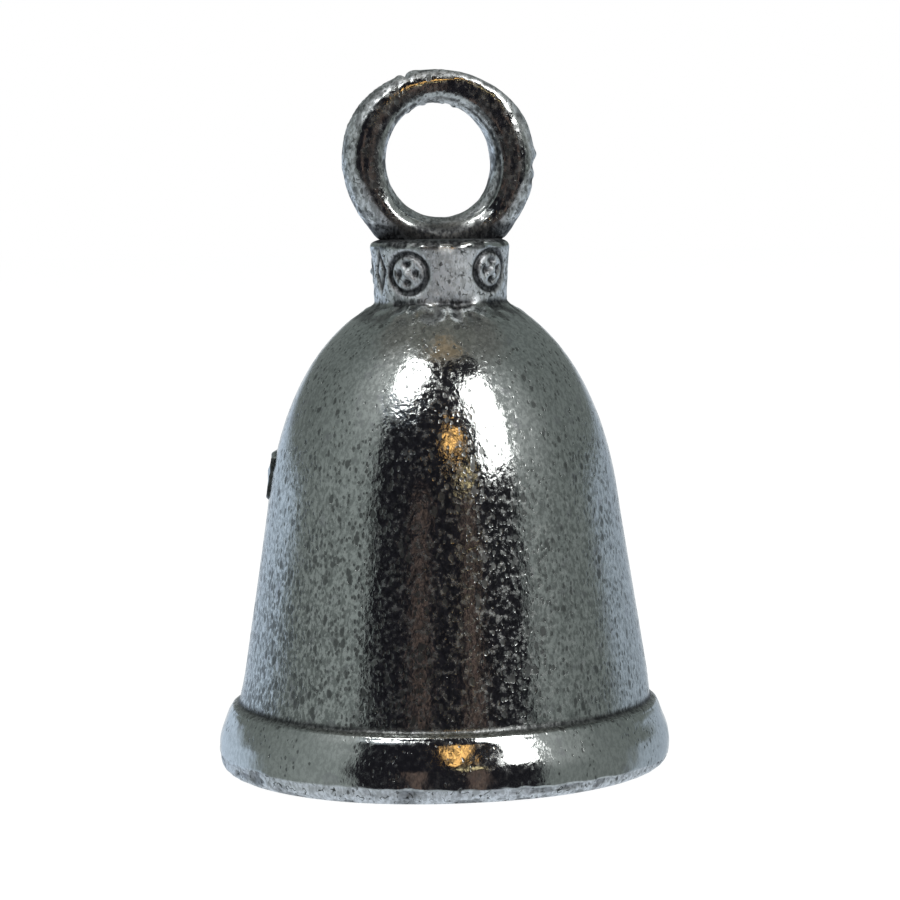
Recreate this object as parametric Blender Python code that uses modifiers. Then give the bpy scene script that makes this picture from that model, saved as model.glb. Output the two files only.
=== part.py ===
"""Small cast bell with a hanging ring, a raised emblem and a free-swinging ball clapper.

Metres, +Z up. The origin is the centre of the mouth plane that the bell stands on, and the hole of the
hanging ring runs along Y. The emblem is on the +Y side. The clapper's link swings about the bar of the
crown staple (an axis along X), and the clapper swings about the bottom of the link (an axis along Y).
"""

import math

import bmesh
import bpy
from mathutils import Matrix, Vector

MM = 0.001
TURN_STEPS = 60
MERGE = 0.00001
AXIS_X = Vector((1, 0, 0))
AXIS_Y = Vector((0, 1, 0))

# Casting, outside. Radii and heights in millimetres.
LIP_FLAT_IN_R = 10.9
LIP_FLAT_OUT_R = 11.8
RIM_MAX_R, RIM_MAX_Z = 12.5, 1.25
RIM_TOP_R, RIM_TOP_Z = 11.75, 3.4
SKIRT_FOOT_R, SKIRT_FOOT_Z = 11.32, 3.75
SKIRT_TAPER = 0.158
SKIRT_TOP_Z = 14.0
DOME_LOW_HANDLE = 1.32
DOME_HIGH_HANDLE = 6.06
DOME_TOP_ANGLE = math.radians(31.9)
NECK_R, NECK_Z = 3.68, 25.6
COLLAR_TOP_R, COLLAR_TOP_Z = 3.8, 29.05
COLLAR_LIP = 0.3

# Casting, inside.
WALL_FOOT_R, WALL_FOOT_Z = 9.95, 1.3
WALL_TOP_R, WALL_TOP_Z = 8.1, 14.0
CEILING_R, CEILING_Z = 2.6, 23.2

# Hanging ring.
RING_Z = 33.18
RING_R = 4.06
RING_SIDE_R = 1.17
RING_CROWN_R = 0.94
RING_FOOT_SWELL = 0.12

# Round marks on the collar.
MARK_COUNT = 5
MARK_FIRST_ANGLE = math.radians(-122.5)
MARK_Z = 27.2
MARK_SEAT_R = 3.6
MARK_R = 0.98
MARK_GROOVE_R = 0.19
MARK_DOT_R = 0.32

# Raised emblem.
EMBLEM_X, EMBLEM_Z = -0.5, 16.1
RIBBON_HALF_LENGTH = 9.3
RIBBON_WIDTH = 2.8
RIBBON_NOTCH = 1.0
RIBBON_RISE = 0.32
PLAQUE_HALF_WIDTH, PLAQUE_HALF_HEIGHT = 4.4, 3.7
PLAQUE_RISE = 0.5
RELIEF_ROOT = 0.6

# Clapper and its hanging. The running gap is between wire and wire.
RUNNING_GAP = 0.15
SOCKET_GAP = 0.3
STAPLE_WIRE_R = 0.5
STAPLE_HALF_SPAN = 1.8
STAPLE_BAR_Z = 20.6
STAPLE_CORNER_R = 0.8
STAPLE_LEG_TOP_Z = 26.0
LINK_WIRE_R = 0.4
LINK_R = 1.9
EYE_WIRE_R = 0.4
EYE_R = 1.15
BALL_R = 3.0
BALL_Z = 5.4
BALL_NECK_R = 1.25
BALL_NECK_TOP = 3.7
BALL_BORE_DEPTH = 3.2

LINK_Z = STAPLE_BAR_Z + STAPLE_WIRE_R + RUNNING_GAP + LINK_WIRE_R - LINK_R
CLAPPER_PIVOT_Z = LINK_Z - LINK_R
EYE_Z = CLAPPER_PIVOT_Z + LINK_WIRE_R + RUNNING_GAP + EYE_WIRE_R - EYE_R


def clear_scene():
    for leftover in list(bpy.data.objects):
        bpy.data.objects.remove(leftover, do_unlink=True)


def make_collection(name):
    collection = bpy.data.collections.new(name)
    bpy.context.scene.collection.children.link(collection)
    return collection


def make_material(name, colour, roughness, metallic=1.0):
    material = bpy.data.materials.new(name)
    material.use_nodes = True
    shader = material.node_tree.nodes["Principled BSDF"]
    shader.inputs["Base Color"].default_value = (*colour, 1.0)
    shader.inputs["Roughness"].default_value = roughness
    shader.inputs["Metallic"].default_value = metallic
    return material


def add_object(name, data, collection, material=None):
    made = bpy.data.objects.new(name, data)
    collection.objects.link(made)
    if material:
        data.materials.append(material)
    return made


def mark_as_cutter(cutter):
    cutter.hide_render = True
    cutter.display_type = "WIRE"


def bezier(start, start_handle, end_handle, end, count):
    """Points after the start, up to and including the end."""
    points = []
    for step in range(1, count + 1):
        t = step / count
        u = 1 - t
        weights = (u**3, 3 * u * u * t, 3 * u * t * t, t**3)
        corners = (start, start_handle, end_handle, end)
        points.append(tuple(sum(w * c[axis] for w, c in zip(weights, corners)) for axis in (0, 1)))
    return points


def arc(centre, radius, first, last, count):
    """Points on an arc, both ends included, with angles in degrees from the first axis to the second."""
    points = []
    for step in range(count + 1):
        angle = math.radians(first + (last - first) * step / count)
        points.append((centre[0] + radius * math.cos(angle), centre[1] + radius * math.sin(angle)))
    return points


def skirt_radius(height):
    return SKIRT_FOOT_R - SKIRT_TAPER * (height - SKIRT_FOOT_Z)


def dome_outline(count):
    """The outside from the top of the dome down to the foot of the skirt."""
    top = (NECK_R, NECK_Z)
    top_handle = (
        NECK_R + DOME_HIGH_HANDLE * math.cos(DOME_TOP_ANGLE),
        NECK_Z - DOME_HIGH_HANDLE * math.sin(DOME_TOP_ANGLE),
    )
    low = (skirt_radius(SKIRT_TOP_Z), SKIRT_TOP_Z)
    low_handle = (skirt_radius(SKIRT_TOP_Z + DOME_LOW_HANDLE), SKIRT_TOP_Z + DOME_LOW_HANDLE)
    points = [top] + bezier(top, top_handle, low_handle, low, count)
    middle_z = (SKIRT_TOP_Z + SKIRT_FOOT_Z) / 2
    return points + [(skirt_radius(middle_z), middle_z), (SKIRT_FOOT_R, SKIRT_FOOT_Z)]


def rim_outline():
    """The rim band, from its shoulder down to the flat that the bell stands on."""
    shoulder = [(SKIRT_FOOT_R + 0.1, RIM_TOP_Z + 0.18), (RIM_TOP_R - 0.12, RIM_TOP_Z + 0.08)]
    top = (RIM_TOP_R, RIM_TOP_Z)
    widest = (RIM_MAX_R, RIM_MAX_Z)
    face = bezier(top, (RIM_TOP_R + 0.4, 2.6), (RIM_MAX_R, 1.9), widest, 5)
    corner = bezier(widest, (RIM_MAX_R, 0.5), (LIP_FLAT_OUT_R + 0.45, 0.0), (LIP_FLAT_OUT_R, 0.0), 4)
    return shoulder + [top] + face + corner


def inside_outline():
    """The inside, from the mouth up to the ceiling, ending on the axis."""
    lip = (LIP_FLAT_IN_R, 0.0)
    foot = (WALL_FOOT_R, WALL_FOOT_Z)
    edge = bezier(lip, (LIP_FLAT_IN_R - 0.5, 0.0), (WALL_FOOT_R + 0.05, 0.7), foot, 3)
    wall_top = (WALL_TOP_R, WALL_TOP_Z)
    taper = (WALL_FOOT_R - WALL_TOP_R) / (WALL_TOP_Z - WALL_FOOT_Z)
    middle = (WALL_TOP_R + taper * 6.0, WALL_TOP_Z - 6.0)
    ceiling = (CEILING_R, CEILING_Z)
    vault = bezier(wall_top, (WALL_TOP_R - taper * 5.0, WALL_TOP_Z + 5.0), (CEILING_R + 2.4, CEILING_Z), ceiling, 9)
    return [lip] + edge + [middle, wall_top] + vault + [(0.0, CEILING_Z)]


def turned(name, outline, collection, material=None, steps=TURN_STEPS):
    """A solid of revolution: the outline, in millimetres, turned about Z by a Screw modifier.

    An outline that doesn't start on the axis is closed into a loop, and makes a hollow ring.
    """
    mesh = bpy.data.meshes.new(name)
    shaper = bmesh.new()
    corners = [shaper.verts.new((radius * MM, 0.0, height * MM)) for radius, height in outline]
    for first, second in zip(corners, corners[1:]):
        shaper.edges.new((first, second))
    if outline[0][0] > 0.0:
        shaper.edges.new((corners[-1], corners[0]))
    shaper.to_mesh(mesh)
    shaper.free()
    made = add_object(name, mesh, collection, material)
    screw = made.modifiers.new("turn", "SCREW")
    screw.axis = "Z"
    screw.steps = steps
    screw.render_steps = steps
    screw.use_merge_vertices = True
    screw.merge_threshold = MERGE
    screw.use_smooth_shade = True
    return made


def mesh_from_curve(name, curve_object, collection, material=None):
    """Turn a curve object into a mesh object with welded caps, and remove the curve."""
    bpy.context.view_layer.update()
    evaluated = curve_object.evaluated_get(bpy.context.evaluated_depsgraph_get())
    mesh = bpy.data.meshes.new_from_object(evaluated)
    mesh.name = name
    welder = bmesh.new()
    welder.from_mesh(mesh)
    bmesh.ops.remove_doubles(welder, verts=welder.verts, dist=MERGE)
    bmesh.ops.recalc_face_normals(welder, faces=welder.faces)
    welder.to_mesh(mesh)
    welder.free()
    mesh.materials.clear()
    matrix = curve_object.matrix_world.copy()
    bpy.data.objects.remove(curve_object, do_unlink=True)
    made = add_object(name, mesh, collection, material)
    made.matrix_world = matrix
    return made


def wire(name, points, radius, collection, material=None, closed=False, radii=None, resolution=4):
    """A round wire along points in millimetres, with filled caps when it is open."""
    curve = bpy.data.curves.new(name + "_route", "CURVE")
    curve.dimensions = "3D"
    curve.bevel_depth = radius * MM
    curve.bevel_resolution = resolution
    curve.use_fill_caps = not closed
    spline = curve.splines.new("POLY")
    spline.points.add(len(points) - 1)
    spline.use_cyclic_u = closed
    for index, place in enumerate(points):
        spline.points[index].co = (*(Vector(place) * MM), 1.0)
        spline.points[index].radius = radii[index] if radii else 1.0
    route = add_object(name + "_route", curve, collection)
    return mesh_from_curve(name, route, collection, material)


def prism(name, outline, collection):
    """A flat outline in the XZ plane, in millimetres, drawn out along +Y from the parting plane."""
    depth = 14.0
    curve = bpy.data.curves.new(name + "_route", "CURVE")
    curve.dimensions = "2D"
    curve.fill_mode = "BOTH"
    curve.extrude = depth / 2 * MM
    spline = curve.splines.new("POLY")
    spline.points.add(len(outline) - 1)
    spline.use_cyclic_u = True
    for index, (along, up) in enumerate(outline):
        spline.points[index].co = (along * MM, up * MM, 0.0, 1.0)
    route = add_object(name + "_route", curve, collection)
    route.location = (0.0, depth / 2 * MM, 0.0)
    route.rotation_euler = (math.radians(90), 0.0, 0.0)
    return mesh_from_curve(name, route, collection)


def boolean(target, other, operation):
    modifier = target.modifiers.new(other.name, "BOOLEAN")
    modifier.object = other
    modifier.operation = operation
    modifier.solver = "EXACT"


def settle(target):
    """Replace an object's mesh by its evaluated one, so that its sharp edges can be marked."""
    bpy.context.view_layer.update()
    evaluated = target.evaluated_get(bpy.context.evaluated_depsgraph_get())
    outline = target.data
    target.data = bpy.data.meshes.new_from_object(evaluated)
    target.data.name = target.name
    target.modifiers.clear()
    bpy.data.meshes.remove(outline)


def shade(target, angle=35):
    target.data.shade_smooth()
    target.data.set_sharp_from_angle(angle=math.radians(angle))


def ring_cutter_part(cutters):
    """The hanging ring, thinner over its crown and swelling towards the collar."""
    points, radii = [], []
    count = 40
    for step in range(count):
        angle = 2 * math.pi * step / count
        crown = max(0.0, math.sin(angle)) ** 3
        foot = max(0.0, -math.sin(angle)) ** 2
        points.append((RING_R * math.cos(angle), 0.0, RING_Z + RING_R * math.sin(angle)))
        radii.append(1.0 + (RING_CROWN_R / RING_SIDE_R - 1.0) * crown + RING_FOOT_SWELL * foot)
    return wire("ring_form", points, RING_SIDE_R, cutters, closed=True, radii=radii)


def collar_mark_cutters(cutters):
    """Ring grooves round the collar, each with a dot at its centre."""
    grooves, dots = [], []
    for index in range(MARK_COUNT):
        angle = MARK_FIRST_ANGLE + 2 * math.pi * index / MARK_COUNT
        out = Vector((math.cos(angle), math.sin(angle), 0.0))
        seat = Matrix.Translation((out * MARK_SEAT_R + Vector((0, 0, MARK_Z))) * MM)
        facing = seat @ out.to_track_quat("Z", "Y").to_matrix().to_4x4()
        bpy.ops.mesh.primitive_torus_add(
            major_segments=18,
            minor_segments=6,
            major_radius=MARK_R * MM,
            minor_radius=MARK_GROOVE_R * MM,
        )
        grooves.append(adopt(f"mark_groove_{index}", facing, cutters))
        bpy.ops.mesh.primitive_uv_sphere_add(segments=8, ring_count=6, radius=MARK_DOT_R * MM)
        dots.append(adopt(f"mark_dot_{index}", facing, cutters))
    return grooves, dots


def adopt(name, matrix, collection):
    """Name the newest primitive, bake its place into its mesh and move it to a collection."""
    made = bpy.context.object
    made.name = name
    made.data.transform(matrix)
    for holder in list(made.users_collection):
        holder.objects.unlink(made)
    collection.objects.link(made)
    return made


def offset_outline(outline, distance):
    """An outline moved outwards along its own normals."""
    moved = []
    for index, (radius, height) in enumerate(outline):
        before = outline[max(index - 1, 0)]
        after = outline[min(index + 1, len(outline) - 1)]
        along = Vector((after[0] - before[0], after[1] - before[1])).normalized()
        moved.append((radius - along.y * distance, height + along.x * distance))
    return moved


def relief_shell(name, rise, cutters):
    """A turned skin that stands proud of the dome and skirt by the rise of a relief, rooted in the wall."""
    outline = dome_outline(12)
    rooted = offset_outline(outline, -RELIEF_ROOT)
    return turned(name, offset_outline(outline, rise) + rooted[::-1], cutters)


def ribbon_outline():
    """A straight ribbon: a rounded end at -X, a notched tail at +X."""
    half = RIBBON_WIDTH / 2
    left = EMBLEM_X - RIBBON_HALF_LENGTH
    right = EMBLEM_X + RIBBON_HALF_LENGTH
    corner = 0.9
    upper_left = arc((left + corner, EMBLEM_Z + half - corner), corner, 180, 90, 4)
    lower_left = arc((left + corner, EMBLEM_Z - half + corner), corner, 270, 180, 4)
    tail = [(right, EMBLEM_Z + half), (right - RIBBON_NOTCH, EMBLEM_Z), (right, EMBLEM_Z - half)]
    return upper_left + tail + lower_left


def plaque_outline():
    points = []
    count = 36
    for step in range(count):
        angle = 2 * math.pi * step / count
        points.append(
            (
                EMBLEM_X + PLAQUE_HALF_WIDTH * math.cos(angle),
                EMBLEM_Z + PLAQUE_HALF_HEIGHT * math.sin(angle),
            )
        )
    return points


def relief(name, outline, rise, cutters):
    """A relief that follows the casting's surface inside a flat outline."""
    shell = relief_shell(name, rise, cutters)
    boolean(shell, prism(name + "_prism", outline, cutters), "INTERSECT")
    return shell


def socket_cutters(cutters):
    """Two blind holes in the solid crown, which take the legs of the staple."""
    sockets = []
    low = CEILING_Z - 1.0
    high = STAPLE_LEG_TOP_Z + SOCKET_GAP
    radius = STAPLE_WIRE_R + SOCKET_GAP
    for side in (-1, 1):
        middle = Matrix.Translation(Vector((side * STAPLE_HALF_SPAN, 0.0, (low + high) / 2)) * MM)
        bpy.ops.mesh.primitive_cylinder_add(vertices=16, radius=radius * MM, depth=(high - low) * MM)
        sockets.append(adopt(f"socket_{side + 1}", middle, cutters))
    return sockets


def bell_body(parts, cutters, material):
    lip = bezier(
        (COLLAR_TOP_R - COLLAR_LIP, COLLAR_TOP_Z),
        (COLLAR_TOP_R - 0.1, COLLAR_TOP_Z),
        (COLLAR_TOP_R, COLLAR_TOP_Z - 0.1),
        (COLLAR_TOP_R, COLLAR_TOP_Z - COLLAR_LIP),
        3,
    )
    collar = [(0.0, COLLAR_TOP_Z - 0.25), (2.4, COLLAR_TOP_Z - 0.25), (COLLAR_TOP_R - COLLAR_LIP, COLLAR_TOP_Z)]
    outline = collar + lip + dome_outline(14) + rim_outline() + inside_outline()
    body = turned("bell_body", outline, parts, material)
    boolean(body, ring_cutter_part(cutters), "UNION")
    grooves, dots = collar_mark_cutters(cutters)
    for groove in grooves:
        boolean(body, groove, "DIFFERENCE")
    for dot in dots:
        boolean(body, dot, "UNION")
    boolean(body, relief("ribbon_form", ribbon_outline(), RIBBON_RISE, cutters), "UNION")
    boolean(body, relief("plaque_form", plaque_outline(), PLAQUE_RISE, cutters), "UNION")
    for socket in socket_cutters(cutters):
        boolean(body, socket, "DIFFERENCE")
    settle(body)
    shade(body)
    return body


def crown_staple(parts, material):
    """A U of wire: two legs up into the crown, and a bar across for the link."""
    inset = STAPLE_HALF_SPAN - STAPLE_CORNER_R
    corner_z = STAPLE_BAR_Z + STAPLE_CORNER_R
    left = arc((-inset, corner_z), STAPLE_CORNER_R, 180, 270, 5)
    right = arc((inset, corner_z), STAPLE_CORNER_R, 270, 360, 5)
    route = [(-STAPLE_HALF_SPAN, STAPLE_LEG_TOP_Z)] + left + right + [(STAPLE_HALF_SPAN, STAPLE_LEG_TOP_Z)]
    staple = wire("crown_staple", [(x, 0.0, z) for x, z in route], STAPLE_WIRE_R, parts, material)
    shade(staple)
    return staple


def hinge(name, place, axis_name, parts):
    """An empty on a joint's axis, which the moving pieces hang from."""
    pivot = bpy.data.objects.new(f"{name}_about_{axis_name}", None)
    pivot.empty_display_type = "ARROWS"
    pivot.empty_display_size = 4 * MM
    pivot.location = Vector(place) * MM
    parts.objects.link(pivot)
    return pivot


def hang(child, parent):
    """Parent without moving: the child keeps its place in the world."""
    bpy.context.view_layer.update()
    child.parent = parent
    child.matrix_parent_inverse = parent.matrix_world.inverted()


def clapper_link(parts, material):
    """A closed jump ring in the YZ plane, hanging on the bar of the staple."""
    count = 28
    points = []
    for step in range(count):
        angle = 2 * math.pi * step / count
        points.append((0.0, LINK_R * math.cos(angle), LINK_Z + LINK_R * math.sin(angle)))
    link = wire("clapper_link", points, LINK_WIRE_R, parts, material, closed=True)
    shade(link)
    return link


def clapper_wire(parts, material):
    """The stem, bent over at its top into an eye in the XZ plane round the bottom of the link."""
    bore_floor = BALL_Z + BALL_NECK_TOP - BALL_BORE_DEPTH
    loop = arc((0.0, EYE_Z), EYE_R, -50, 222, 18)
    shank_top = EYE_Z - EYE_R - 1.1
    bend = bezier((0.0, shank_top), (0.0, shank_top + 0.7), (0.35, loop[0][1] - 0.45), loop[0], 4)
    route = [(0.0, bore_floor + SOCKET_GAP), (0.0, (bore_floor + shank_top) / 2), (0.0, shank_top)]
    route += bend + loop[1:]
    stem = wire("clapper_wire", [(x, 0.0, z) for x, z in route], EYE_WIRE_R, parts, material)
    shade(stem)
    return stem


def clapper_ball(parts, material):
    """A ball with a short neck, bored down its axis for the wire."""
    bore_r = EYE_WIRE_R + SOCKET_GAP
    bore_floor = BALL_NECK_TOP - BALL_BORE_DEPTH
    join = math.degrees(math.asin((BALL_NECK_TOP - 0.9) / BALL_R))
    neck = [(bore_r, BALL_NECK_TOP), (BALL_NECK_R - 0.2, BALL_NECK_TOP), (BALL_NECK_R, BALL_NECK_TOP - 0.2)]
    ball = arc((0.0, 0.0), BALL_R, min(join, 63.0), -90, 16)
    outline = [(0.0, bore_floor), (bore_r, bore_floor)] + neck + ball[:-1] + [(0.0, -BALL_R)]
    lifted = [(radius, height + BALL_Z) for radius, height in outline]
    made = turned("clapper_ball", lifted, parts, material, steps=32)
    shade(made)
    return made


def build():
    clear_scene()
    parts = make_collection("ring_top_bell")
    cutters = make_collection("cutters")
    pewter = make_material("antiqued_pewter", (0.36, 0.37, 0.36), 0.34)
    steel = make_material("steel_wire", (0.48, 0.48, 0.47), 0.3)
    shot = make_material("cast_ball", (0.3, 0.31, 0.3), 0.42)

    bell_body(parts, cutters, pewter)
    for cutter in cutters.objects:
        mark_as_cutter(cutter)
    crown_staple(parts, steel)
    link_pivot = hinge("link_swing", (0.0, 0.0, STAPLE_BAR_Z), "x", parts)
    clapper_pivot = hinge("clapper_swing", (0.0, 0.0, CLAPPER_PIVOT_Z), "y", parts)
    hang(clapper_pivot, link_pivot)
    hang(clapper_link(parts, steel), link_pivot)
    hang(clapper_wire(parts, steel), clapper_pivot)
    hang(clapper_ball(parts, shot), clapper_pivot)


build()
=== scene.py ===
import math

import bpy
import numpy as np
from mathutils import Matrix, Vector


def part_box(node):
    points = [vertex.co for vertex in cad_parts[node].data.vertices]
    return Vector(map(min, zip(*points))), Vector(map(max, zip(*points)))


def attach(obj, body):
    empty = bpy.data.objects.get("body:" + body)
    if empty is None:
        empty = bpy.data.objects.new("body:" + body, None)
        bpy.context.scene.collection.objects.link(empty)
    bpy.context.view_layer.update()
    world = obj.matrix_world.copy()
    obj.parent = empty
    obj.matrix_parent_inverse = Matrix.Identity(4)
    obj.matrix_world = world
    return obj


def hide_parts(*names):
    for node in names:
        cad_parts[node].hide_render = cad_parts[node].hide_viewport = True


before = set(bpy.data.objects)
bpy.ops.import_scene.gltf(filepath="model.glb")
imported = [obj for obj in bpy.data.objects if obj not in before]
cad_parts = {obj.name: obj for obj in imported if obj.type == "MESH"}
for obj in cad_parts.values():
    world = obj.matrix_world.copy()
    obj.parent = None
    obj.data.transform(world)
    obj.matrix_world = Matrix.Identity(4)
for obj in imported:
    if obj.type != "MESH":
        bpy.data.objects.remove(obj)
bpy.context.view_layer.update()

# The looks of a small antiqued-pewter bell. Shapes are worked out in millimetres, in the CAD's frame, and
# brought to metres when a mesh is made. Angles round the bell are measured from +X towards +Y.

MM = 0.001
TAU = 2 * math.pi

# -------------------------------------- driving sizes, millimetres
BODY_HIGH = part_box("bell_body")[1] / MM
RIM_MAX_R, RIM_MAX_Z = BODY_HIGH.x - 0.08, 1.2
RIM_TOP_R, RIM_TOP_Z = RIM_MAX_R - 0.64, 3.38
RIM_JOINT_Z = 3.75
LIP_LINE_Z, LIP_LINE_SLANT = 0.82, 0.2
LIP_FLAT_OUT_R, LIP_FLAT_IN_R = 11.75, 10.9
SKIRT_FOOT_R, SKIRT_FOOT_Z = 11.29, 4.05
SKIRT_TAPER = 0.158
SKIRT_TOP_Z = 14.0
DOME_LOW_HANDLE, DOME_HIGH_HANDLE = 1.32, 6.12
DOME_TOP_ANGLE = math.radians(29.5)
NECK_R, NECK_Z = 3.62, 25.5
COLLAR_TOP_R, COLLAR_TOP_Z = 3.8, 29.05
COLLAR_DISH_Z = COLLAR_TOP_Z - 0.12
WALL_FOOT_R, WALL_FOOT_Z = 9.95, 1.3
WALL_TOP_R, WALL_TOP_Z = 8.1, 14.0
CEILING_R, CEILING_Z = 2.6, 23.2
COLUMNS, INSIDE_COLUMNS = 400, 80

RING_Z, RING_R, RING_SIDE_R, RING_CROWN_R = 33.16, 4.06, 1.17, 0.9
RING_TWIST, RING_LEAN = 0.145, 0.027
RING_STEPS, RING_SIDES = 420, 96

MARK_HALF_WIDTH, MARK_HALF_HEIGHT = 1.17, 1.05
MARKS = ((-124.1, 27.13), (-46.3, 27.27), (23.0, 27.2), (95.0, 27.2), (166.0, 27.2))
LOZENGE_HALF_WIDTH, LOZENGE_HALF_HEIGHT = 0.46, 0.95
LOZENGE_Z = 27.25
LOZENGE_ANGLES = (-156.0, -12.0, 59.0, 130.5)

RIBBON_Z, RIBBON_HALF_WIDTH = 16.1, 1.4
RIBBON_END, RIBBON_TAIL, RIBBON_NOTCH = -14.8, 11.6, 1.1
RIBBON_BEND_R = 9.4
PLAQUE_HALF_WIDTH, PLAQUE_HALF_HEIGHT = 4.4, 3.7
PLAQUE_SHIFT = 0.5
EMBLEM_ROWS, EMBLEM_COLUMNS, EMBLEM_HALF_HEIGHT = 100, 330, 4.2
UNDER_SKIN = -0.14

WIRE_SIDES, BALL_COLUMNS = 28, 96
STAPLE_CORNER_R = 0.8
BALL_HOLE_R, BALL_NECK_R, BALL_JOIN_ANGLE = 0.44, 1.25, math.radians(63)

# Scratches on the dome and skirt: angle, height, lean from upright in degrees, length and depth.
SCRATCHES = (
    (-147.0, 17.6, 38.0, 2.4, 0.02),
    (-141.0, 22.3, -32.0, 1.9, 0.014),
    (-119.0, 16.4, 88.0, 1.3, 0.03),
    (-133.0, 13.3, -28.0, 1.6, 0.014),
    (-61.0, 10.9, 62.0, 1.0, 0.03),
    (-70.0, 19.0, 24.0, 1.8, 0.012),
    (-20.0, 14.5, -50.0, 2.6, 0.018),
    (70.0, 9.0, 30.0, 2.2, 0.018),
    (160.0, 20.5, -60.0, 1.8, 0.016),
)
SCRATCH_HALF_WIDTH, SCRATCH_FADE = 0.1, 0.3

# Where the dome is peppered with small dents: strength, angle, width in radians, height and half height.
DENTED_PLACES = ((1.0, -110, 0.3, 20.1, 1.2), (0.6, -92, 0.2, 21.6, 1.3), (0.5, -82, 0.14, 16.8, 1.6))

# Nicks and swellings along the ring's outer edge: height, angle and width in degrees, and how far they go
# round the section in radians.
FLASH_REACH = 0.16
RING_NICKS = (
    (-0.24, 109.5, 1.2, 0.6),
    (0.07, 113.5, 2.0, FLASH_REACH),
    (0.06, 104, 3.5, FLASH_REACH),
    (-0.32, -3.5, 2.6, 0.5),
    (0.14, 3.5, 3.2, FLASH_REACH),
    (-0.18, -13, 1.8, 0.4),
    (0.1, 27, 15.0, 0.8),
)

# ------------ unevenness: depth, feature size and seed of each layer
SKIN_WAVES = ((0.016, 5.5, 11), (0.006, 1.9, 12), (0.0018, 0.9, 13))
DENT_WAVES = ((0.012, 0.6, 14),)
RIM_WAVES = ((0.016, 0.95, 16), (0.007, 0.42, 17))
LIP_WAVES = ((0.02, 0.5, 22),)
LIP_LINE_WAVES = ((0.05, 2.2, 71), (0.03, 0.7, 72))
LIP_CHATTER_WAVES = ((1.0, 1.5, 24), (0.8, 0.6, 28), (0.5, 0.3, 29))
LIP_BURR_WAVES = ((0.03, 0.8, 25), (0.02, 0.35, 26))
JOINT_WAVES = ((0.02, 1.3, 23), (0.015, 0.5, 27))
NECK_WAVES = ((0.17, 0.85, 31), (0.14, 0.45, 32))
BRIM_WAVES = ((0.07, 1.1, 41), (0.05, 0.45, 42))
COLLAR_WAVES = ((0.022, 0.8, 43), (0.012, 0.3, 44))
INSIDE_WAVES = ((0.05, 2.2, 51), (0.025, 1.1, 52), (0.0125, 0.55, 53))
FLASH_WAVES = ((0.02, 1.3, 61), (0.025, 0.4, 62))
BORE_TEETH_WAVES = ((0.13, 0.3, 63),)
RING_WAVES = ((0.016, 1.6, 64), (0.009, 0.7, 65), (0.004, 0.32, 70))
RING_ROUGH_WAVES = ((0.012, 0.45, 66), (0.006, 0.2, 67))
EMBLEM_WAVES = ((0.01, 0.8, 91), (0.006, 0.3, 92))
EMBLEM_CHIPS = ((1.0, 0.42, 93), (0.5, 0.2, 94))
WIRE_WAVE_DEPTH, WIRE_WAVE_SIZE = 0.012, 1.4
BALL_WAVES = ((0.03, 2.0, 112), (0.014, 0.7, 113), (0.006, 0.3, 114))

# --------------------------- colours of the metal, red, green, blue
PEWTER_DARKER, PEWTER_LIGHTER = (0.56, 0.585, 0.565, 1.0), (0.64, 0.655, 0.64, 1.0)
PEWTER_SATIN, PEWTER_DULL = (0.9, 0.93, 0.96, 1.0), (0.3, 0.315, 0.305, 1.0)
PEWTER_STAIN, PEWTER_PIT = (0.34, 0.33, 0.36, 1.0), (0.12, 0.126, 0.124, 1.0)
# The patina colour is also used for painted shade.
PEWTER_PATINA_AND_SHADE = (0.02, 0.021, 0.024, 1.0)
STEEL_DARKER, STEEL_LIGHTER = (0.42, 0.41, 0.39, 1.0), (0.58, 0.57, 0.55, 1.0)
BALL_DARKER, BALL_LIGHTER = (0.26, 0.265, 0.26, 1.0), (0.42, 0.425, 0.42, 1.0)

# --- camera and surroundings
CAMERA_DISTANCE, CAMERA_HEIGHT, CAMERA_SIDE = 157.9 * MM, 31.15 * MM, 0.41 * MM
CAMERA_PITCH, CAMERA_ROLL = math.radians(5.0), math.radians(-0.85)
FOCAL_LENGTH, SENSOR_WIDTH, CLIP_START = 115.2, 36.0, 0.01
SOFTBOX_DISTANCE, SOFTBOX_TARGET_Z, SOFTBOX_RADIANCE = 0.6, 18 * MM, 7.0
WALL_LEFT, WALL_RIGHT = (0.33, 0.365, 0.36, 1), (0.235, 0.26, 0.255, 1)
WALL_BACK, WALL_HIGH = (0.2, 0.225, 0.22, 1), (0.19, 0.195, 0.185, 1)
SHEET_LEFT, SHEET_RIGHT, SHEET_BACK = (0.62, 0.73, 0.87, 1), (0.44, 0.51, 0.59, 1), (0.72, 0.76, 0.8, 1)
FRONT_DARK, STREAK = (0.015, 0.0145, 0.019, 1), (0.19, 0.135, 0.115, 1)
ZENITH_GREY, ZENITH_WARM, FLOOR_BOUNCE = (0.2, 0.205, 0.19, 1), (0.36, 0.285, 0.2, 1), (0.58, 0.63, 0.68, 1)
STREAK_AZIMUTHS = (-14.5, 16.5)

# Glows: place and half size in degrees, colour, strength and softness.
SOFTBOX_HALOS = (
    ((-58, 54), (24, 22), (0.75, 0.78, 0.78, 1), 0.5, 0.7),
    ((56, 36), (24, 24), (0.7, 0.73, 0.73, 1), 0.45, 0.7),
)
SCATTERED_GLOW = ((-39, 43.5), (14, 5.5), (0.7, 0.78, 0.9, 1), 0.5, 0.6)
WARM_LAMPS = (
    ((8.0, 30.3), (5.6, 3.0), (2.4, 1.35, 0.45, 1), 1.0, 0.2),
    ((15.5, 18.4), (3.8, 2.1), (1.7, 1.38, 0.78, 1), 0.9, 0.2),
)

CAMERA_AZIMUTH = math.radians(-5.5)
TOWARD_CAMERA = Vector((math.sin(CAMERA_AZIMUTH), -math.cos(CAMERA_AZIMUTH), 0.0))
CAMERA_RIGHT = Vector((math.cos(CAMERA_AZIMUTH), math.sin(CAMERA_AZIMUTH), 0.0))


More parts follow.
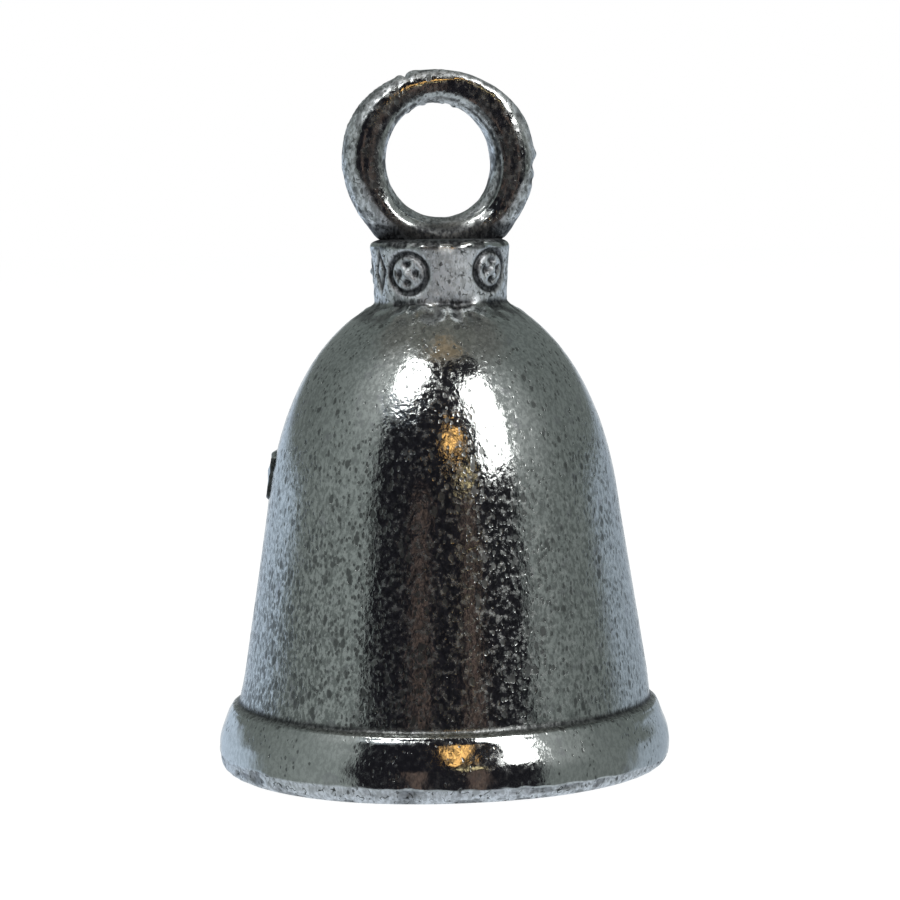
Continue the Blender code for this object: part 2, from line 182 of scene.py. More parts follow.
# ---------- noise and curves
CELL_PRIMES = (374761393, 668265263, 2147483647)
SEED_PRIME, MIXING_PRIME = 974634777, 1274126177
NOISE_SHIFT = 1000.0


def lattice_value(cells, seed):
    """A repeatable pseudo-random value from -1 to 1 for each integer cell."""
    mixed = seed * SEED_PRIME
    for axis, prime in enumerate(CELL_PRIMES):
        mixed = mixed + cells[..., axis] * prime
    mixed = (mixed ^ (mixed >> 13)) * MIXING_PRIME
    mixed = mixed ^ (mixed >> 16)
    return (mixed & 0xFFFFFF) / float(0x7FFFFF) - 1.0


def noise(points, size, seed):
    """Smooth value noise over points in millimetres, with features of about the size given."""
    scaled = points / size + NOISE_SHIFT
    cell = np.floor(scaled).astype(np.int64)
    part = scaled - cell
    part = part * part * part * (part * (part * 6 - 15) + 10)
    total = 0.0
    for corner in np.ndindex(2, 2, 2):
        offset = np.array(corner)
        weight = np.prod(np.where(offset == 1, part, 1 - part), axis=-1)
        total = total + weight * lattice_value(cell + offset, seed)
    return total


def waves(points, layers):
    """The sum of layers of noise, each given as depth, feature size and seed."""
    return sum(depth * noise(points, size, seed) for depth, size, seed in layers)


def smooth(low, high, value):
    ratio = np.clip((value - low) / (high - low), 0.0, 1.0)
    return ratio * ratio * (3 - 2 * ratio)


def hump(value, width):
    return np.exp(-((value / width) ** 2))


def wrapped(angle):
    return (angle + math.pi) % TAU - math.pi


def bezier(start, start_handle, end_handle, end, count):
    """Points after the start, up to and including the end."""
    t = np.arange(1, count + 1)[:, None] / count
    u = 1 - t
    corners = [np.array(corner, float) for corner in (start, start_handle, end_handle, end)]
    weights = (u**3, 3 * u * u * t, 3 * u * t * t, t**3)
    return sum(weight * corner for weight, corner in zip(weights, corners))


def line(start, end, count):
    t = np.arange(1, count + 1)[:, None] / count
    return np.array(start, float) * (1 - t) + np.array(end, float) * t


def outline_normals(outline):
    along = np.gradient(outline, axis=0)
    normals = np.stack([-along[:, 1], along[:, 0]], axis=1)
    return normals / np.linalg.norm(normals, axis=1, keepdims=True)


def blurred(field, rounds, wrap_columns=False):
    """A field on a grid averaged with its neighbours a few times over."""
    for _ in range(rounds):
        rows = np.pad(field, ((1, 1), (0, 0)), mode="edge")
        field = (rows[:-2] + 2 * field + rows[2:]) / 4
        columns = np.pad(field, ((0, 0), (1, 1)), mode="wrap" if wrap_columns else "edge")
        field = (columns[:, :-2] + 2 * field + columns[:, 2:]) / 4
    return field


# ----------------- meshes
def add_mesh(name, points, faces, attributes):
    """A smooth mesh object from points in millimetres, with its point attributes."""
    mesh = bpy.data.meshes.new(name)
    mesh.from_pydata((points * MM).tolist(), [], faces)
    for key, values in attributes.items():
        layer = mesh.attributes.new(key, "FLOAT", "POINT")
        layer.data.foreach_set("value", np.asarray(values, np.float32).ravel())
    mesh.update()
    mesh.shade_smooth()
    made = bpy.data.objects.new(name, mesh)
    bpy.context.scene.collection.objects.link(made)
    return made


def grid_faces(first, rows, columns, closed=True):
    """Quads between the rows of a grid, whose columns may close into a ring."""
    last = columns if closed else columns - 1
    near = np.arange(last)[None, :]
    ahead = (near + 1) % columns
    upper = np.arange(rows - 1)[:, None] * columns + first
    quads = np.stack([upper + near, upper + columns + near, upper + columns + ahead, upper + ahead], axis=-1)
    return quads.reshape(-1, 4).tolist()


def closing_faces(last, columns):
    """Quads from the last row of a grid back to its first row."""
    return [[last + j, j, (j + 1) % columns, last + (j + 1) % columns] for j in range(columns)]


def fan_faces(pole, first, columns):
    """Triangles from a pole to the row of points that starts at the first."""
    return [[pole, first + j, first + (j + 1) % columns] for j in range(columns)]


def reversed_faces(faces):
    return [face[::-1] for face in faces]


def skirt_place(height):
    """Radius and height of a place on the skirt's straight line."""
    return SKIRT_FOOT_R - SKIRT_TAPER * (height - SKIRT_FOOT_Z), height


def collar_outline():
    """From near the axis on top of the collar, over its brim and down to the neck."""
    r, z = COLLAR_TOP_R, COLLAR_TOP_Z
    top = np.array([(0.5, COLLAR_DISH_Z)])
    dish = line(top[-1], (3.2, COLLAR_DISH_Z), 8)
    brim = bezier(dish[-1], (3.38, COLLAR_DISH_Z), (r - 0.2, z - 0.24), (r - 0.09, z - 0.36), 8)
    edge = bezier(brim[-1], (r - 0.03, z - 0.43), (r, z - 0.5), (r - 0.01, z - 0.68), 7)
    collar = line(edge[-1], (NECK_R, NECK_Z + 0.2), 42)
    r, z = NECK_R, NECK_Z
    neck = bezier(collar[-1], (r - 0.02, z), (r + 0.05, z - 0.06), (r + 0.2, z - 0.18), 8)
    return [top, dish, brim, edge, collar, neck]


def rim_outline(start):
    """From the skirt's foot, over the rim band and round the lip to the mouth's flat."""
    foot_r, top_r, r = SKIRT_FOOT_R, RIM_TOP_R, RIM_MAX_R
    joint = bezier(start, (foot_r + 0.03, 3.78), (foot_r + 0.06, 3.66), (top_r - 0.22, 3.58), 8)
    shelf = bezier(joint[-1], (top_r - 0.1, 3.545), (top_r - 0.03, 3.47), (top_r, RIM_TOP_Z), 5)
    shoulder = bezier(shelf[-1], (top_r + 0.06, RIM_TOP_Z - 0.08), (r - 0.53, 3.2), (r - 0.49, 3.1), 5)
    face = line(shoulder[-1], (r - 0.2, 2.32), 7)
    brow = bezier(face[-1], (r - 0.05, 1.92), (r, RIM_MAX_Z + 0.45), (r, RIM_MAX_Z), 7)
    belly = bezier(brow[-1], (r, 0.95), (r - 0.02, 0.7), (r - 0.09, 0.42), 7)
    lip = bezier(belly[-1], (r - 0.16, 0.2), (LIP_FLAT_OUT_R + 0.3, 0.0), (LIP_FLAT_OUT_R, 0.0), 8)
    flat = line(lip[-1], (LIP_FLAT_IN_R, 0.0), 4)
    return [joint, shelf, shoulder, face, brow, belly, lip, flat]


def outside_outline():
    """Radius and height down the outside, from near the axis on top of the collar to the mouth's flat."""
    upper = collar_outline()
    high_handle = (
        NECK_R + DOME_HIGH_HANDLE * math.cos(DOME_TOP_ANGLE),
        NECK_Z - DOME_HIGH_HANDLE * math.sin(DOME_TOP_ANGLE),
    )
    low_handle = skirt_place(SKIRT_TOP_Z + DOME_LOW_HANDLE)
    dome = bezier(upper[-1][-1], high_handle, low_handle, skirt_place(SKIRT_TOP_Z), 62)
    skirt = line(dome[-1], (SKIRT_FOOT_R, SKIRT_FOOT_Z), 38)
    return np.concatenate(upper + [dome, skirt] + rim_outline(skirt[-1]))


def inside_outline():
    """Radius and height up the inside, from the mouth to near the axis at the ceiling."""
    mouth = np.array([(LIP_FLAT_IN_R - 0.12, 0.03)])
    foot = bezier(mouth[-1], (10.45, 0.1), (WALL_FOOT_R + 0.05, 0.7), (WALL_FOOT_R, WALL_FOOT_Z), 5)
    wall = line(foot[-1], (WALL_TOP_R, WALL_TOP_Z), 18)
    taper = (WALL_FOOT_R - WALL_TOP_R) / (WALL_TOP_Z - WALL_FOOT_Z)
    vault = bezier(
        wall[-1], (WALL_TOP_R - taper * 5.0, WALL_TOP_Z + 5.0), (CEILING_R + 2.4, CEILING_Z),
        (CEILING_R, CEILING_Z), 18,
    )
    ceiling = line(vault[-1], (0.4, CEILING_Z), 6)
    return np.concatenate([mouth, foot, wall, vault, ceiling])


def turned_about(pairs, angles):
    """Pairs of radius and height as a grid of points, one column for each angle."""
    radius, height = pairs[:, :1], np.repeat(pairs[:, 1:], len(angles), 1)
    return np.stack([radius * np.cos(angles), radius * np.sin(angles), height], axis=-1)


def turn(outline, columns):
    """Points, outward directions and angles of an outline turned about the axis."""
    angles = np.arange(columns) * TAU / columns
    points = turned_about(outline, angles)
    outward = turned_about(outline_normals(outline), angles)
    return points, outward, np.broadcast_to(angles[None, :], points.shape[:2])


# -------- the bell's casting
def mark_relief(around, up):
    """A grooved oval round a small boss with four hollows beside it."""
    groove = hump(np.hypot(around / MARK_HALF_WIDTH, up / MARK_HALF_HEIGHT) - 1.0, 0.16)
    reach = np.hypot(around, up)
    hollows = hump(reach - 0.5, 0.2) * (0.5 + 0.5 * np.cos(4 * np.arctan2(up, around)))
    return -0.2 * groove - 0.19 * hollows + 0.17 * hump(reach, 0.22)


def lozenge_relief(around, up):
    edge = np.abs(around) / LOZENGE_HALF_WIDTH + np.abs(up) / LOZENGE_HALF_HEIGHT
    return -0.17 * hump(edge - 1.0, 0.3)


def angle_from(angles, degrees):
    """Angles measured from a place round the bell, from minus to plus half a turn."""
    return wrapped(angles - math.radians(degrees))


def collar_ornament(points, angles):
    """Oval marks round the collar with lozenges between some of them: how far the skin is raised or cut."""
    z = points[..., 2]
    on_collar = (z > NECK_Z + 0.05) * (z < COLLAR_TOP_Z - 0.3)
    height = np.zeros(angles.shape)
    for centre, centre_z in MARKS:
        height += mark_relief(angle_from(angles, centre) * COLLAR_TOP_R, z - centre_z)
    for centre in LOZENGE_ANGLES:
        height += lozenge_relief(angle_from(angles, centre) * COLLAR_TOP_R, z - LOZENGE_Z)
    return height * on_collar


def lip_line(angles, points):
    """Height of the uneven edge where the filed lip meets the polished rim."""
    return LIP_LINE_Z - LIP_LINE_SLANT * np.cos(angles) + waves(points, LIP_LINE_WAVES)


def lip_chatter(points):
    """Irregular hollows that the file left along the lip, from 0 to about 1."""
    stretched = points * np.array([1.0, 1.0, 2.2])
    return np.maximum(0.0, waves(stretched, LIP_CHATTER_WAVES) - 0.1)


def dents(z, angles):
    """Where the dome is peppered with small dents that break up what it mirrors, from 0 to 1."""
    total = 0.0
    for strength, angle, width, centre_z, half_height in DENTED_PLACES:
        total = total + strength * hump(angle_from(angles, angle), width) * hump(z - centre_z, half_height)
    return np.clip(total, 0, 1)


def scuffs(points, angles, radius):
    """Shallow knocks and fine scratches on the dome and skirt."""
    z = points[..., 2]
    height = waves(points, DENT_WAVES) * dents(z, angles)
    for angle, centre_z, lean, length, depth in SCRATCHES:
        sin, cos = math.sin(math.radians(lean)), math.cos(math.radians(lean))
        across, rise = angle_from(angles, angle) * radius, z - centre_z
        within = smooth(length / 2, length / 2 - SCRATCH_FADE, np.abs(across * sin + rise * cos))
        height = height - depth * hump(across * cos - rise * sin, SCRATCH_HALF_WIDTH) * within
    return height


def outside_unevenness(points, angles, radius):
    """Slow unevenness of the cast skin, rougher at the neck, the collar's brim and the filed lip."""
    z = points[..., 2]
    height = waves(points, SKIN_WAVES) + scuffs(points, angles, radius)
    rim = smooth(0.9, 1.4, z) * smooth(3.5, 3.2, z) * (radius > 11.6)
    height = height + rim * waves(points, RIM_WAVES)
    edge = lip_line(angles, points)
    lip = smooth(0.05, -0.1, z - edge) * (radius > 11.0)
    height = height - lip * (0.03 + 0.09 * lip_chatter(points) + waves(points, LIP_WAVES))
    burr = hump(z - edge, 0.07) * (radius > 11.9)
    height = height + burr * np.maximum(0.0, 0.02 + waves(points, LIP_BURR_WAVES))
    joint = hump(z - RIM_JOINT_Z, 0.3) * (radius > 11.0)
    height = height + joint * waves(points, JOINT_WAVES)
    neck = hump(z - NECK_Z + 0.3, 0.55) * (radius < 5.4)
    facing = 0.3 + 0.7 * hump(angle_from(angles, -95), 0.75)
    height = height + neck * facing * waves(points, NECK_WAVES)
    brim = hump(z - COLLAR_TOP_Z + 0.4, 0.35) * (radius > 3.0) * (radius < 4.2)
    height = height + brim * waves(points, BRIM_WAVES)
    collar = smooth(NECK_Z, NECK_Z + 0.3, z)
    return height + collar * waves(points, COLLAR_WAVES)


def rim_patina_and_shade(points, angles, radius, lip, edge):
    """Dark deposit over the rim band, in the lip's hollows and along the lip's edge; over the rim band it is
    partly painted shade, darkest on the sides to the left and right of the camera.
    """
    z = points[..., 2]
    broken = 0.5 + 0.5 * noise(points, 1.1, 81)
    # Painted shade: the dark deposit in the rim joint is made darker on the sides left and right of the
    # camera and lighter towards the front and back.
    camera_side_shade = smooth(-0.2, 0.75, np.abs(np.cos(angles + 0.05)) + 0.25 * broken)
    joint_patina_and_shade = hump(z - RIM_JOINT_Z + 0.01, 0.17) * (radius > 11.0) * (radius < 11.75)
    joint_patina_and_shade = joint_patina_and_shade * (0.35 + 0.65 * camera_side_shade)
    stained = lip * smooth(0.05, 0.5, lip_chatter(points))
    stained = stained + 0.6 * hump(z - edge + 0.1, 0.06) * (radius > 11.9) * broken
    return joint_patina_and_shade + 0.6 * stained


def collar_patina(points, radius):
    """Dark deposit on top of the collar, under it and in the rough fillet below it."""
    z = points[..., 2]
    under_collar = hump(z - NECK_Z, 0.2) * (radius < 4.6) * smooth(-0.75, -0.35, noise(points, 0.8, 83))
    lumps = waves(points, NECK_WAVES)
    below_neck = hump(z - NECK_Z + 0.5, 0.55) * (radius < 5.8) * smooth(0.04, -0.04, lumps)
    on_top = (z > COLLAR_TOP_Z - 0.45) * smooth(3.7, 3.6, radius)
    worn_brim = smooth(COLLAR_TOP_Z - 0.75, COLLAR_TOP_Z - 0.5, z) * (radius < 4.2)
    on_top = np.maximum(on_top, worn_brim * smooth(0.0, 0.25, noise(points, 0.6, 84)))
    return under_collar + 0.8 * below_neck + on_top


def outside_finish(points, angles, radius, relief):
    """Point attributes of the outside: dark patina with painted shade in the rim joint, satin finish, how
    marked it is and how dented.
    """
    z = points[..., 2]
    edge = lip_line(angles, points)
    lip = smooth(0.05, -0.05, z - edge) * (radius > 10.8)
    recess = np.clip((blurred(relief, 5, True) - relief) * 18.0, 0, 1)
    cut = np.clip(-relief * 13.0 - 0.25, 0, 1)
    patina_and_shade = np.maximum(recess, cut) + rim_patina_and_shade(points, angles, radius, lip, edge)
    patina_and_shade = patina_and_shade + collar_patina(points, radius)
    bright_brim = hump(z - COLLAR_TOP_Z + 0.45, 0.16) * (radius > 3.6) * (radius < 4.2)
    satin = np.clip(smooth(NECK_Z - 0.1, NECK_Z + 0.15, z) + lip - bright_brim, 0, 1)
    marked = 1 - 0.5 * smooth(3.6, 3.3, z) * (radius > 11.0) - 0.3 * smooth(15.0, 20.0, z)
    left_flank = hump(angle_from(angles, 200), 0.55) * smooth(15.0, 8.0, z) * (z > 3.8)
    return np.clip(patina_and_shade, 0, 1), satin, marked + 0.7 * left_flank, dents(z, angles)


def mouth_bridge(outer_first, inner_first):
    """Faces that join each inside column to the several outside columns over it."""
    ratio = COLUMNS // INSIDE_COLUMNS
    faces = []
    for j in range(INSIDE_COLUMNS):
        near = [outer_first + (j * ratio + step) % COLUMNS for step in range(ratio, -1, -1)]
        faces.append(near + [inner_first + j, inner_first + (j + 1) % INSIDE_COLUMNS])
    return faces


def shaped_outside():
    """The outside's points and attributes, with ornament, unevenness and the rim's slight lean."""
    points, outward, angles = turn(outside_outline(), COLUMNS)
    radius = np.hypot(points[..., 0], points[..., 1])
    relief = collar_ornament(points, angles)
    finish = outside_finish(points, angles, radius, relief)
    z = points[..., 2]
    height = (outside_unevenness(points, angles, radius) + relief) * smooth(0.0, 0.05, z)
    nick = hump(angle_from(angles, 1.0) * radius, 0.35) * hump(z - 9.8, 0.16)
    shaped = points + outward * (height - 0.12 * nick)[..., None]
    shaped[..., 0] -= 0.13 * smooth(5.5, 2.5, z)
    shaped[..., 2] += 0.1 * smooth(-9.0, 2.0, points[..., 0]) * smooth(1.2, 0.2, z) * (radius > 10.0)
    return shaped, finish


def shaped_inside():
    """The rough inside, with a boss round each leg of the staple."""
    points, outward, _ = turn(inside_outline(), INSIDE_COLUMNS)
    rough = waves(points, INSIDE_WAVES) * smooth(0.02, 0.6, points[..., 2])
    points = points + outward * rough[..., None]
    from_leg = np.hypot(np.abs(points[..., 0]) - 1.8, points[..., 1])
    points[..., 2] -= 0.35 * hump(from_leg, 0.95) * (points[..., 2] > CEILING_Z - 0.3)
    return points


def bell_casting():
    """The turned casting as one closed mesh: the outside fine, the inside coarser, joined in the mouth."""
    outer, (patina_and_shade, satin, marked, dented) = shaped_outside()
    inner = shaped_inside()
    rows, inner_rows = outer.shape[0], inner.shape[0]
    poles = np.array([[0.0, 0.0, outer[0, 0, 2]], [0.0, 0.0, CEILING_Z]])
    points = np.concatenate([outer.reshape(-1, 3), inner.reshape(-1, 3), poles])
    inner_first = rows * COLUMNS
    last_row = inner_first + (inner_rows - 1) * INSIDE_COLUMNS
    faces = grid_faces(0, rows, COLUMNS) + grid_faces(inner_first, inner_rows, INSIDE_COLUMNS)
    faces += fan_faces(len(points) - 2, 0, COLUMNS)
    faces += reversed_faces(fan_faces(len(points) - 1, last_row, INSIDE_COLUMNS))
    faces += mouth_bridge(inner_first - COLUMNS, inner_first)
    inside = np.ones(inner_rows * INSIDE_COLUMNS)
    ends = np.ones(2)
    attributes = {
        "patina_and_shade": np.concatenate([patina_and_shade.ravel(), inside * 0.55, ends]),
        "satin": np.concatenate([satin.ravel(), inside, ends]),
        "marked": np.concatenate([marked.ravel(), inside, ends]),
        "dented": np.concatenate([dented.ravel(), np.zeros(len(inside) + len(ends))]),
    }
    return add_mesh("bell_casting", points, faces, attributes)


# ----------- hanging ring
def near_angle(theta, centre, width):
    """A hump over an angle round the ring; centre and width in degrees."""
    return hump(np.degrees(wrapped(theta - math.radians(centre))), width)


def window(theta, low, high, blend=6.0):
    """1 between two angles round the ring, in degrees from -180 to 180, fading over the blend."""
    degrees = np.degrees(theta)
    return smooth(low - blend, low + blend, degrees) * smooth(high + blend, high - blend, degrees)


def ring_skin(theta, psi):
    """How far the ring's skin stands from the middle of its section."""
    inner_side = smooth(0.3, -0.3, np.cos(psi))
    power = 2.15 + (0.6 - 1.15 * window(theta, -150, -30, 18)) * inner_side
    power = power + 1.3 * window(theta, 38, 80, 10) * (1 - inner_side)
    rounding = (np.abs(np.cos(psi)) ** power + np.abs(np.sin(psi)) ** power) ** (-1 / power)
    crown = np.maximum(0.0, np.sin(theta)) ** 3
    foot = np.maximum(0.0, -np.sin(theta)) ** 2
    swell = 1 + (RING_CROWN_R / RING_SIDE_R - 1) * crown + 0.1 * foot * np.cos(psi)
    skin = RING_SIDE_R * swell * rounding
    wedge = near_angle(theta, -50, 6) + near_angle(theta, -130, 6)
    return skin * (0.975 + 0.025 * np.cos(psi)) + 0.1 * wedge * hump(wrapped(psi), 1.0)


def ring_edges(theta, psi, place):
    """Flash, nicks and file marks along the ring's outer and inner edges."""
    bore_parting = hump(wrapped(psi - math.pi), 0.2)
    teeth = np.maximum(0.0, 0.02 + waves(place, BORE_TEETH_WAVES))
    edges = hump(wrapped(psi), FLASH_REACH) * np.maximum(0.0, 0.02 + waves(place, FLASH_WAVES))
    edges = edges + bore_parting * (0.01 + window(theta, 66, 122, 8) * teeth)
    for height, centre, width, reach in RING_NICKS:
        edges = edges + height * near_angle(theta, centre, width) * hump(wrapped(psi), reach)
    filed = np.sin(105.0 * theta + 16.0 * psi) * window(theta, 118, 168) * hump(wrapped(psi), 0.9)
    return edges + 0.009 * filed


def bore_steps(theta, psi):
    """Fine steps left by a file along the bore on one side: their height and their patina."""
    along = window(theta, -50, 62, 12)
    turned = np.degrees(np.abs(wrapped(psi)))
    drift = 6.0 * np.sin(2.2 * theta)
    groove = turned - 137 - drift
    steps = hump(turned - 128 - drift, 4.0) - hump(groove, 3.5) + 0.8 * hump(turned - 150 + drift, 4.0)
    return 0.045 * along * steps, along * hump(groove, 5.0)


def ring_finish(theta, psi, place, heights, step_patina):
    """Point attributes of the ring: satin outside and in the bore, polished between, and painted shade at
    its foot where it meets the collar.
    """
    low_sides = window(theta, -168, -118, 8) + window(theta, -62, -12, 8)
    outer_satin = smooth(0.52 - 0.32 * low_sides, 0.64 - 0.3 * low_sides, np.cos(psi))
    low = window(theta, -145, -35, 12)
    inner_satin = smooth(-0.55 - 0.1 * low, -0.7 - 0.1 * low, np.cos(psi)) * (1 - 0.35 * low)
    satin = np.clip(0.85 * outer_satin + 0.8 * inner_satin, 0, 1)
    # Painted shade: the ring is darkened near its foot, where it stands in the collar, standing in for the
    # shadow in the gap between them.
    foot = smooth(30.0, 29.5, heights + 0.12 * noise(place, 0.7, 74))
    blotches = smooth(-0.05, 0.35, noise(place, 0.45, 68)) * inner_satin * (1 - 0.3 * low)
    flecks = smooth(0.15, 0.5, noise(place, 0.4, 69)) * outer_satin
    tarnish = smooth(-0.1, 0.6, noise(place, 0.6, 73)) * (1 - outer_satin) * (1 - inner_satin)
    patina_and_shade = np.clip(foot + 0.75 * blotches + 0.6 * flecks + 0.35 * tarnish + 0.9 * step_patina, 0, 1)
    return {"patina_and_shade": patina_and_shade, "satin": satin, "marked": np.full(theta.shape, 0.85)}


def hanging_ring():
    """The ring cast on top, a little twisted and leaning, worn and filed along its edges."""
    theta = (np.arange(RING_STEPS) * TAU / RING_STEPS - math.pi)[:, None]
    psi = (np.arange(RING_SIDES) * TAU / RING_SIDES - math.pi)[None, :]
    theta, psi = np.broadcast_arrays(theta, psi)
    radial = np.stack([np.cos(theta), np.zeros_like(theta), np.sin(theta)], axis=-1)
    depth = np.array([0.0, 1.0, 0.0])
    middle = radial * RING_R + np.array([0.0, 0.0, RING_Z])
    offset = np.cos(psi)[..., None] * radial + np.sin(psi)[..., None] * depth
    place = middle + offset * RING_SIDE_R
    step_height, step_patina = bore_steps(theta, psi)
    skin = ring_skin(theta, psi) + ring_edges(theta, psi, place) + step_height
    rough = smooth(0.35, 0.6, np.cos(psi)) + smooth(-0.6, -0.8, np.cos(psi))
    skin = skin + waves(place, RING_WAVES) + rough * waves(place, RING_ROUGH_WAVES)
    points = middle + offset * skin[..., None]
    points[..., 0] -= RING_TWIST * points[..., 1] + RING_LEAN * (points[..., 2] - RING_Z)
    attributes = ring_finish(theta, psi, place, points[..., 2], step_patina)
    quads = grid_faces(0, RING_STEPS, RING_SIDES) + closing_faces((RING_STEPS - 1) * RING_SIDES, RING_SIDES)
    return add_mesh("hanging_ring", points.reshape(-1, 3), reversed_faces(quads), attributes)


# --- emblem on the far side
def ribbon_height(along, up):
    """A flat ribbon with a raised hem, a plain end on one side and a notched tail on the other."""
    stop = RIBBON_TAIL - RIBBON_NOTCH * (1 - np.abs(up) / RIBBON_HALF_WIDTH)
    corner = smooth(RIBBON_END + 0.9, RIBBON_END, along) * (0.5 * smooth(0.7, 1.5, up) + 0.2 * (up < 0))
    inside = np.minimum(along - RIBBON_END, stop - along)
    inside = np.minimum(inside, RIBBON_HALF_WIDTH - corner - np.abs(up))
    level = 0.26 - (0.07 - 0.05 * up) * smooth(RIBBON_END + 5, RIBBON_END, along)
    hem = hump(inside - 0.24, 0.12) * smooth(RIBBON_END, RIBBON_END + 2, along)
    engraved = hump(inside - 0.52, 0.09)
    scroll = hump(up - 0.42 * np.sin(along * 2.1), 0.16) * smooth(0.75, 1.0, inside)
    body = level + 0.07 * hem - 0.07 * engraved + 0.09 * scroll
    return np.where(inside > 0, smooth(-0.02, 0.16, inside) * body, UNDER_SKIN)


def plaque_height(across, up):
    """An oval with a rope border round a flower of eight petals."""
    du, dv = across / PLAQUE_HALF_WIDTH, up / PLAQUE_HALF_HEIGHT
    reach = np.hypot(du, dv)
    inside = (1 - reach) * PLAQUE_HALF_HEIGHT
    around = np.arctan2(dv, du)
    rope = hump(inside - 0.42, 0.26) * (0.7 + 0.3 * np.cos(48 * around + 5.0 * inside))
    field = smooth(0.72, 0.92, inside)
    petal_reach = 1 - np.abs(reach - 0.4) / 0.3
    petal_side = 0.5 + 0.5 * np.cos(8 * around)
    petals = np.clip(np.minimum(petal_reach, 1.6 * petal_side - 0.25) * 1.6, 0, 1)
    vein = hump(np.sin(4 * around), 0.16) * petals
    heart = np.sqrt(np.clip(1 - (reach / 0.13) ** 2, 0, 1))
    beads = hump(reach - 0.68, 0.02) * smooth(0.2, 0.9, np.cos(32 * around))
    flower = 0.2 * petals - 0.07 * vein + 0.26 * heart + 0.1 * beads
    body = 0.36 + 0.16 * rope - 0.14 * field + field * flower
    return np.where(inside > 0, smooth(-0.02, 0.16, inside) * body, UNDER_SKIN)


def bell_emblem():
    """The raised ornament as a fine skin that dips under the bell's own skin all round."""
    up = np.linspace(EMBLEM_HALF_HEIGHT, -EMBLEM_HALF_HEIGHT, EMBLEM_ROWS)[:, None]
    along = np.linspace(RIBBON_END - 0.35, RIBBON_TAIL + 0.5, EMBLEM_COLUMNS)[None, :]
    up, along = np.broadcast_arrays(up, along)
    angle = math.pi / 2 - along / RIBBON_BEND_R
    flat = np.stack([along, np.zeros_like(along), up], axis=-1)
    height = np.maximum(ribbon_height(along, up), plaque_height(along + PLAQUE_SHIFT, up))
    recess = np.clip((blurred(height, 7) - height) * 14.0, 0, 1)
    # Painted shade: the relief is darkened along its foot, where it rises from the bell, as the shadow under
    # its edge.
    relief_foot_shade = np.clip((0.12 - height) * 9.0, 0, 1)
    skin = blurred(height, 1) + waves(flat, EMBLEM_WAVES) * (height > 0)
    chipped = smooth(RIBBON_END + 1.0, RIBBON_END + 0.3, along) * (height > 0.1)
    skin = skin - 0.12 * chipped * np.maximum(0.0, waves(flat, EMBLEM_CHIPS))
    z = RIBBON_Z + up
    outline = outside_outline()
    order = np.argsort(outline[:, 1])
    radius = np.interp(z, outline[order, 1], outline[order, 0]) + skin
    points = np.stack([radius * np.cos(angle), radius * np.sin(angle), z], axis=-1)
    # Painted shade: the end wall of the ribbon is darkened as if it stood in its own shadow.
    ribbon_end_shade = smooth(RIBBON_END + 0.75, RIBBON_END + 0.55, along) * (up < 1.05)
    patina_and_shade = np.clip(recess + relief_foot_shade + ribbon_end_shade, 0, 1)
    even = np.ones(patina_and_shade.shape)
    attributes = {"patina_and_shade": patina_and_shade, "satin": even * 0.12, "marked": even * 0.6}
    quads = grid_faces(0, EMBLEM_ROWS, EMBLEM_COLUMNS, closed=False)
    return add_mesh("bell_emblem", points.reshape(-1, 3), reversed_faces(quads), attributes)


# ----- clapper and its wires
def box_in_millimetres(node):
    return [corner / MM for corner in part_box(node)]


def arc(centre, radius, first, last, count):
    """Points round an arc, from the first angle to the last in degrees."""
    angles = np.radians(np.linspace(first, last, count))
    return np.array(centre, float) + radius * np.stack([np.cos(angles), np.sin(angles)], axis=1)


def wire_tube(name, route, across_axis, thickness, closed=False):
    """A round wire along a route of places across and up, in a plane through the bell's axis."""
    if closed:
        along = np.roll(route, -1, axis=0) - np.roll(route, 1, axis=0)
    else:
        along = np.gradient(route, axis=0)
    along = along / np.linalg.norm(along, axis=1, keepdims=True)
    aside = np.stack([-along[:, 1], along[:, 0]], axis=1)
    psi = np.arange(WIRE_SIDES) * TAU / WIRE_SIDES
    spread = (thickness[:, None] * np.cos(psi)[None, :])[..., None] * aside[:, None, :]
    flat = route[:, None, :] + spread
    points = np.zeros((len(route), WIRE_SIDES, 3))
    points[..., across_axis] = flat[..., 0]
    points[..., 1 - across_axis] = thickness[:, None] * np.sin(psi)[None, :]
    points[..., 2] = flat[..., 1]
    quads = grid_faces(0, len(route), WIRE_SIDES)
    last = (len(route) - 1) * WIRE_SIDES
    if closed:
        quads += closing_faces(last, WIRE_SIDES)
    else:
        quads += [list(range(WIRE_SIDES)), [last + j for j in reversed(range(WIRE_SIDES))]]
    if across_axis == 1:
        quads = reversed_faces(quads)
    return add_mesh(name, points.reshape(-1, 3), quads, {})


def uneven_thickness(route, radius, seed):
    places = np.stack([route[:, 0], np.zeros(len(route)), route[:, 1]], axis=1)
    return radius + WIRE_WAVE_DEPTH * noise(places, WIRE_WAVE_SIZE, seed)


def staple_wire():
    """The U of wire in the crown, with the bar worn a little where the link hangs."""
    low, high = box_in_millimetres("crown_staple")
    radius = (high.y - low.y) / 2
    half_span = (high.x - low.x) / 2 - radius
    bar_z, corner_r = low.z + radius, STAPLE_CORNER_R
    left = arc((corner_r - half_span, bar_z + corner_r), corner_r, 180, 270, 12)
    right = arc((half_span - corner_r, bar_z + corner_r), corner_r, 270, 360, 12)
    leg = line((-half_span, high.z), left[0], 20)[:-1]
    bar = line(left[-1], right[0], 20)[:-1]
    other_leg = line(right[-1], (half_span, high.z), 20)
    route = np.concatenate([leg, left, bar, right, other_leg])
    worn = 0.05 * hump(route[:, 0], 0.45) * (route[:, 1] < bar_z + 0.1)
    return wire_tube("staple_wire", route, 0, uneven_thickness(route, radius, 101) - worn)


